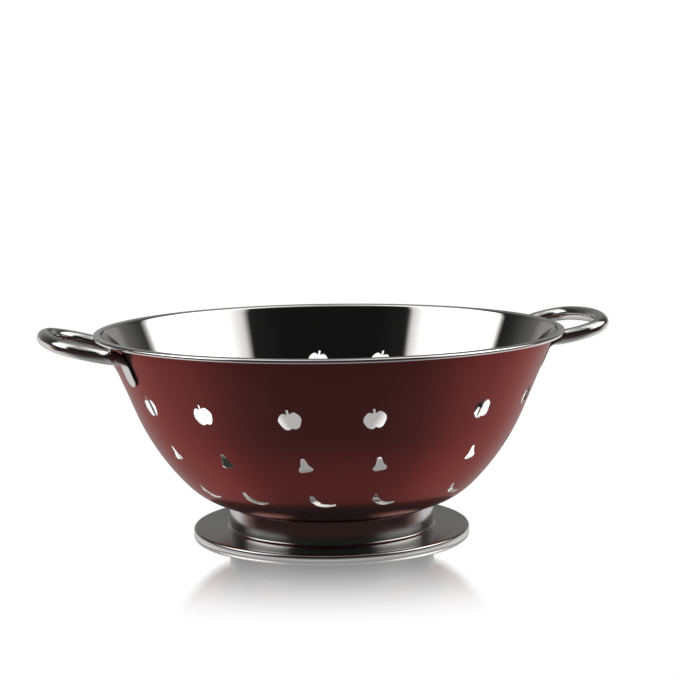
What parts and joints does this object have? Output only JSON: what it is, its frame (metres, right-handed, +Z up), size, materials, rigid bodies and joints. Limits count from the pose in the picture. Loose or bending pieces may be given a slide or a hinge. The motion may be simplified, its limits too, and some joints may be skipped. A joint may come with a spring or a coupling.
{
  "type": "colander",
  "caption": "Round sheet-metal colander: deep bowl with fruit-shaped perforations, pedestal foot ring and welded tube handles.",
  "frame": {"origin": "on the bowl's axis, on the floor under the foot ring's rolled edge", "axes": "+Z up along the bowl's axis, +X through the middle of the right handle, handle_left on -X"},
  "size_m": [0.3448, 0.28, 0.1264],
  "materials": {
    "bowl_paint": "satin gloss dark red paint outside, mirror-polished bare steel inside and on the rim",
    "polished_steel": "mirror-polished stainless steel"
  },
  "bodies": {
    "root": {"bowl": "bowl_paint", "foot_ring": "polished_steel", "handle_left": "polished_steel", "handle_right": "polished_steel"}
  },
  "joints": []
}
